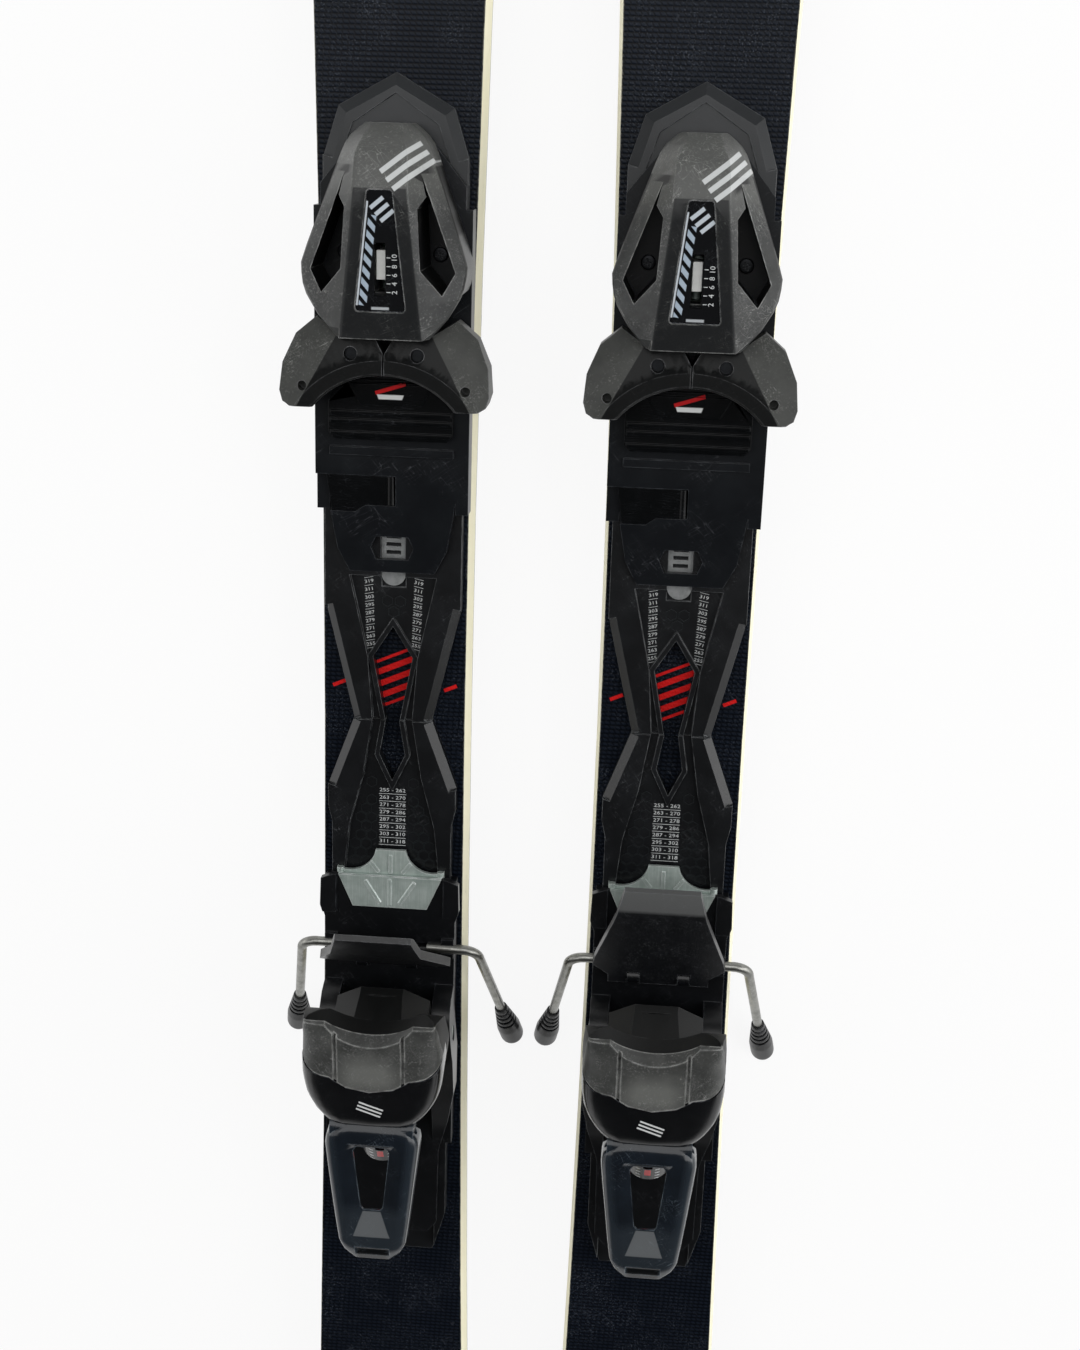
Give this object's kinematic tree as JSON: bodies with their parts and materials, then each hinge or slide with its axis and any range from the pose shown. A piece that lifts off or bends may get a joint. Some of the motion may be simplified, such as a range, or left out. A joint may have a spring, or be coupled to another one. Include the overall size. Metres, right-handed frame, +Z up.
{
  "type": "alpine skis with bindings",
  "caption": "Pair of alpine piste skis with rail bindings: sliding toe and heel pieces, release wings, open heel jaws with step-in levers and lowered ski brakes.",
  "frame": {"origin": "below the middle of the pair, on the floor that the brake tips touch", "axes": "+X across the pair to the right ski, +Y to the ski tips, +Z up"},
  "size_m": [0.2764, 1.68, 0.1312],
  "materials": {
    "running_base": "polished sintered base",
    "edge_steel": "ground steel edge",
    "core_wood": "laminated core",
    "sidewall_plastic": "cream moulded sidewall",
    "topsheet_film": "embossed dark navy film",
    "rail_plastic": "fine moulded black",
    "zinc_steel": "bright zinc plate",
    "screw_steel": "dark zinc plate",
    "carriage_plastic": "fine moulded black",
    "housing_plastic": "worn charcoal moulding",
    "window_plastic": "clear moulded window",
    "pointer_white": "white pointer",
    "pointer_red": "red pointer",
    "spring_steel": "oiled spring wire",
    "wing_plastic": "moulded dark grey",
    "cup_plastic": "worn grey moulding",
    "shell_plastic": "gloss black moulding",
    "lever_plastic": "smoky blue-grey moulding",
    "brake_wire": "nickel-plated wire",
    "brake_plastic": "moulded black"
  },
  "bodies": {
    "skis": {"running_bases": "running_base", "steel_edges": "edge_steel", "cores": "core_wood", "sidewalls": "sidewall_plastic", "topsheets": "topsheet_film", "rail_plates": "rail_plastic", "racks": "zinc_steel", "rail_screws": "screw_steel"},
    "l_toe": {"l_toe_carriage": "carriage_plastic", "l_toe_housing": "housing_plastic", "l_toe_window": "window_plastic", "l_toe_spring": "spring_steel", "l_toe_plunger": "screw_steel", "l_wing_pins": "screw_steel"},
    "l_left_wing": {"l_left_wing": "wing_plastic"},
    "l_right_wing": {"l_right_wing": "wing_plastic"},
    "l_glide_plate": {"l_glide_plate": "carriage_plastic"},
    "l_toe_latch": {"l_toe_latch": "carriage_plastic"},
    "l_toe_release_screw": {"l_toe_release_screw": "zinc_steel"},
    "l_toe_spring_nut": {"l_toe_spring_nut": "pointer_white"},
    "l_heel": {"l_anchor_plate": "zinc_steel", "l_heel_base": "carriage_plastic", "l_heel_axle": "screw_steel"},
    "l_jaw": {"l_heel_jaw": "cup_plastic", "l_heel_housing": "shell_plastic", "l_heel_spring": "spring_steel", "l_heel_plunger": "screw_steel", "l_lever_pin": "screw_steel"},
    "l_opening_lever": {"l_opening_lever": "lever_plastic"},
    "l_heel_release_screw": {"l_heel_release_screw": "zinc_steel"},
    "l_heel_spring_nut": {"l_heel_spring_nut": "pointer_red"},
    "l_brake_pedal": {"l_brake_pedal": "brake_plastic"},
    "l_brake": {"l_brake_arms": "brake_wire", "l_brake_tips": "brake_plastic"},
    "r_toe": {"r_toe_carriage": "carriage_plastic", "r_toe_housing": "housing_plastic", "r_toe_window": "window_plastic", "r_toe_spring": "spring_steel", "r_toe_plunger": "screw_steel", "r_wing_pins": "screw_steel"},
    "r_left_wing": {"r_left_wing": "wing_plastic"},
    "r_right_wing": {"r_right_wing": "wing_plastic"},
    "r_glide_plate": {"r_glide_plate": "carriage_plastic"},
    "r_toe_latch": {"r_toe_latch": "carriage_plastic"},
    "r_toe_release_screw": {"r_toe_release_screw": "zinc_steel"},
    "r_toe_spring_nut": {"r_toe_spring_nut": "pointer_white"},
    "r_heel": {"r_anchor_plate": "zinc_steel", "r_heel_base": "carriage_plastic", "r_heel_axle": "screw_steel"},
    "r_jaw": {"r_heel_jaw": "cup_plastic", "r_heel_housing": "shell_plastic", "r_heel_spring": "spring_steel", "r_heel_plunger": "screw_steel", "r_lever_pin": "screw_steel"},
    "r_opening_lever": {"r_opening_lever": "lever_plastic"},
    "r_heel_release_screw": {"r_heel_release_screw": "zinc_steel"},
    "r_heel_spring_nut": {"r_heel_spring_nut": "pointer_red"},
    "r_brake_pedal": {"r_brake_pedal": "brake_plastic"},
    "r_brake": {"r_brake_arms": "brake_wire", "r_brake_tips": "brake_plastic"}
  },
  "joints": [
    {"name": "l_toe_slide", "type": "slide", "parent": "skis", "child": "l_toe", "axis": [0, 1, 0], "range_m": [-0.028, 0.012]},
    {"name": "l_left_wing_swing", "type": "hinge", "parent": "l_toe", "child": "l_left_wing", "pos_m": [-0.08617, 0.095, 0.09088], "axis": [0, 0, -1], "range_deg": [0, 22], "stiffness_Nm_per_rad": 8, "springref_deg": -22.92},
    {"name": "l_right_wing_swing", "type": "hinge", "parent": "l_toe", "child": "l_right_wing", "pos_m": [-0.05517, 0.095, 0.09088], "axis": [0, 0, 1], "range_deg": [0, 22], "stiffness_Nm_per_rad": 8, "springref_deg": -22.92},
    {"name": "l_glide", "type": "slide", "parent": "l_toe", "child": "l_glide_plate", "axis": [1, 0, 0], "range_m": [-0.005, 0.005], "stiffness_N_per_m": 400},
    {"name": "l_latch_lift", "type": "hinge", "parent": "l_toe", "child": "l_toe_latch", "pos_m": [-0.07117, 0.0275, 0.06378], "axis": [0, 1, 0], "range_deg": [0, 35], "stiffness_Nm_per_rad": 0.1, "springref_deg": -17.19},
    {"name": "l_toe_screw_turn", "type": "hinge", "parent": "l_toe", "child": "l_toe_release_screw", "pos_m": [-0.07067, 0.1825, 0.07908], "axis": [0, 1, 0], "range_deg": [-1180, 1180]},
    {"name": "l_toe_nut_travel", "type": "slide", "parent": "l_toe", "child": "l_toe_spring_nut", "axis": [0, 1, 0], "range_m": [-0.005, 0.005], "deforming": ["l_toe_spring"]},
    {"name": "l_heel_slide", "type": "slide", "parent": "skis", "child": "l_heel", "axis": [0, 1, 0], "range_m": [-0.025, 0.02]},
    {"name": "l_jaw_close", "type": "hinge", "parent": "l_heel", "child": "l_jaw", "pos_m": [-0.07067, -0.261, 0.07258], "axis": [1, 0, 0], "range_deg": [-30, 0]},
    {"name": "l_lever_press", "type": "hinge", "parent": "l_jaw", "child": "l_opening_lever", "pos_m": [-0.07067, -0.29376, 0.11532], "axis": [1, 0, 0], "range_deg": [0, 20], "stiffness_Nm_per_rad": 0.5, "springref_deg": -22.92},
    {"name": "l_heel_screw_turn", "type": "hinge", "parent": "l_jaw", "child": "l_heel_release_screw", "pos_m": [-0.07067, -0.28498, 0.10111], "axis": [0, 0.866, 0.5], "range_deg": [-1180, 1180]},
    {"name": "l_heel_nut_travel", "type": "slide", "parent": "l_jaw", "child": "l_heel_spring_nut", "axis": [0, 0.866, 0.5], "range_m": [-0.005, 0.005], "deforming": ["l_heel_spring"]},
    {"name": "l_brake_swing", "type": "hinge", "parent": "l_heel", "child": "l_brake", "pos_m": [-0.07067, -0.216, 0.06548], "axis": [-1, 0, 0], "range_deg": [0, 45], "stiffness_Nm_per_rad": 4, "springref_deg": -85.94},
    {"name": "l_pedal_press", "type": "hinge", "parent": "l_heel", "child": "l_brake_pedal", "pos_m": [-0.07067, -0.2215, 0.07093], "axis": [-1, 0, 0], "range_deg": [0, 59]},
    {"name": "r_toe_slide", "type": "slide", "parent": "skis", "child": "r_toe", "axis": [0, 1, 0], "range_m": [-0.028, 0.012]},
    {"name": "r_left_wing_swing", "type": "hinge", "parent": "r_toe", "child": "r_left_wing", "pos_m": [0.05517, 0.095, 0.09088], "axis": [0, 0, -1], "range_deg": [0, 22], "stiffness_Nm_per_rad": 8, "springref_deg": -22.92},
    {"name": "r_right_wing_swing", "type": "hinge", "parent": "r_toe", "child": "r_right_wing", "pos_m": [0.08617, 0.095, 0.09088], "axis": [0, 0, 1], "range_deg": [0, 22], "stiffness_Nm_per_rad": 8, "springref_deg": -22.92},
    {"name": "r_glide", "type": "slide", "parent": "r_toe", "child": "r_glide_plate", "axis": [1, 0, 0], "range_m": [-0.005, 0.005], "stiffness_N_per_m": 400},
    {"name": "r_latch_lift", "type": "hinge", "parent": "r_toe", "child": "r_toe_latch", "pos_m": [0.07017, 0.0275, 0.06378], "axis": [0, 1, 0], "range_deg": [0, 35], "stiffness_Nm_per_rad": 0.1, "springref_deg": -17.19},
    {"name": "r_toe_screw_turn", "type": "hinge", "parent": "r_toe", "child": "r_toe_release_screw", "pos_m": [0.07067, 0.1825, 0.07908], "axis": [0, 1, 0], "range_deg": [-1180, 1180]},
    {"name": "r_toe_nut_travel", "type": "slide", "parent": "r_toe", "child": "r_toe_spring_nut", "axis": [0, 1, 0], "range_m": [-0.005, 0.005], "deforming": ["r_toe_spring"]},
    {"name": "r_heel_slide", "type": "slide", "parent": "skis", "child": "r_heel", "axis": [0, 1, 0], "range_m": [-0.025, 0.02]},
    {"name": "r_jaw_close", "type": "hinge", "parent": "r_heel", "child": "r_jaw", "pos_m": [0.07067, -0.261, 0.07258], "axis": [1, 0, 0], "range_deg": [-30, 0]},
    {"name": "r_lever_press", "type": "hinge", "parent": "r_jaw", "child": "r_opening_lever", "pos_m": [0.07067, -0.29376, 0.11532], "axis": [1, 0, 0], "range_deg": [0, 20], "stiffness_Nm_per_rad": 0.5, "springref_deg": -22.92},
    {"name": "r_heel_screw_turn", "type": "hinge", "parent": "r_jaw", "child": "r_heel_release_screw", "pos_m": [0.07067, -0.28498, 0.10111], "axis": [0, 0.866, 0.5], "range_deg": [-1180, 1180]},
    {"name": "r_heel_nut_travel", "type": "slide", "parent": "r_jaw", "child": "r_heel_spring_nut", "axis": [0, 0.866, 0.5], "range_m": [-0.005, 0.005], "deforming": ["r_heel_spring"]},
    {"name": "r_brake_swing", "type": "hinge", "parent": "r_heel", "child": "r_brake", "pos_m": [0.07067, -0.216, 0.06548], "axis": [-1, 0, 0], "range_deg": [0, 45], "stiffness_Nm_per_rad": 4, "springref_deg": -85.94},
    {"name": "r_pedal_press", "type": "hinge", "parent": "r_heel", "child": "r_brake_pedal", "pos_m": [0.07067, -0.2215, 0.07093], "axis": [-1, 0, 0], "range_deg": [0, 22]}
  ],
  "couplings": [
    {"joint": "l_toe_nut_travel", "follows": "l_toe_screw_turn", "m_per_rad": 0.00023873},
    {"joint": "l_heel_nut_travel", "follows": "l_heel_screw_turn", "m_per_rad": 0.00023873},
    {"joint": "l_pedal_press", "follows": "l_brake_swing", "ratio": 1.3111},
    {"joint": "r_toe_nut_travel", "follows": "r_toe_screw_turn", "m_per_rad": 0.00023873},
    {"joint": "r_heel_nut_travel", "follows": "r_heel_screw_turn", "m_per_rad": 0.00023873},
    {"joint": "r_pedal_press", "follows": "r_brake_swing", "ratio": 0.48889}
  ]
}
